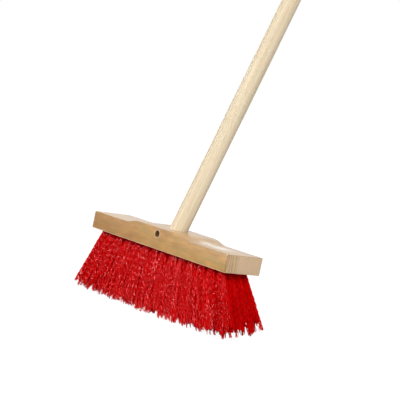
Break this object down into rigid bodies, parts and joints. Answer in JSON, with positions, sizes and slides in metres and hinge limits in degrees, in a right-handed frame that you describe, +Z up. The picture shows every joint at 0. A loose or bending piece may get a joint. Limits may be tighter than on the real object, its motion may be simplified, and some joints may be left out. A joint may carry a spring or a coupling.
{
  "type": "push broom",
  "caption": "Push broom: saddle-backed wooden block with rows of flared red plastic bristle tufts, a long round wooden handle leaning back from an angled socket, and a fixing screw.",
  "frame": {"origin": "middle of the bottom of the whole broom's box, on the plane that the bristle tips stand on; the middle of the block lies 214 mm in front of it, straight above the same plane", "axes": "+X along the block's length, +Y back, the way the handle leans away from the face with the screw hole, +Z up from the bristle tips"},
  "size_m": [0.3608, 0.5148, 1.4362],
  "materials": {
    "block_wood": "smooth hardwood with a thin clear varnish",
    "handle_wood": "smooth pale softwood",
    "screw_steel": "zinc-plated steel",
    "bristle_plastic": "crimped red plastic bristle, semi-gloss"
  },
  "bodies": {
    "root": {"broom_block": "block_wood", "handle": "handle_wood", "fixing_screw": "screw_steel", "tuft_front_01": "bristle_plastic", "tuft_front_02": "bristle_plastic", "tuft_front_03": "bristle_plastic", "tuft_front_04": "bristle_plastic", "tuft_front_05": "bristle_plastic", "tuft_front_06": "bristle_plastic", "tuft_front_07": "bristle_plastic", "tuft_front_08": "bristle_plastic", "tuft_front_09": "bristle_plastic", "tuft_front_10": "bristle_plastic", "tuft_front_11": "bristle_plastic", "tuft_front_12": "bristle_plastic", "tuft_front_13": "bristle_plastic", "tuft_front_14": "bristle_plastic", "tuft_inner_front_01": "bristle_plastic", "tuft_inner_front_02": "bristle_plastic", "tuft_inner_front_03": "bristle_plastic", "tuft_inner_front_04": "bristle_plastic", "tuft_inner_front_05": "bristle_plastic", "tuft_inner_front_06": "bristle_plastic", "tuft_inner_front_07": "bristle_plastic", "tuft_inner_front_08": "bristle_plastic", "tuft_inner_front_09": "bristle_plastic", "tuft_inner_front_10": "bristle_plastic", "tuft_inner_front_11": "bristle_plastic", "tuft_inner_front_12": "bristle_plastic", "tuft_inner_front_13": "bristle_plastic", "tuft_inner_front_14": "bristle_plastic", "tuft_inner_rear_01": "bristle_plastic", "tuft_inner_rear_02": "bristle_plastic", "tuft_inner_rear_03": "bristle_plastic", "tuft_inner_rear_04": "bristle_plastic", "tuft_inner_rear_05": "bristle_plastic", "tuft_inner_rear_06": "bristle_plastic", "tuft_inner_rear_07": "bristle_plastic", "tuft_inner_rear_08": "bristle_plastic", "tuft_inner_rear_09": "bristle_plastic", "tuft_inner_rear_10": "bristle_plastic", "tuft_inner_rear_11": "bristle_plastic", "tuft_inner_rear_12": "bristle_plastic", "tuft_inner_rear_13": "bristle_plastic", "tuft_inner_rear_14": "bristle_plastic", "tuft_rear_01": "bristle_plastic", "tuft_rear_02": "bristle_plastic", "tuft_rear_03": "bristle_plastic", "tuft_rear_04": "bristle_plastic", "tuft_rear_05": "bristle_plastic", "tuft_rear_06": "bristle_plastic", "tuft_rear_07": "bristle_plastic", "tuft_rear_08": "bristle_plastic", "tuft_rear_09": "bristle_plastic", "tuft_rear_10": "bristle_plastic", "tuft_rear_11": "bristle_plastic", "tuft_rear_12": "bristle_plastic", "tuft_rear_13": "bristle_plastic", "tuft_rear_14": "bristle_plastic"}
  },
  "joints": []
}
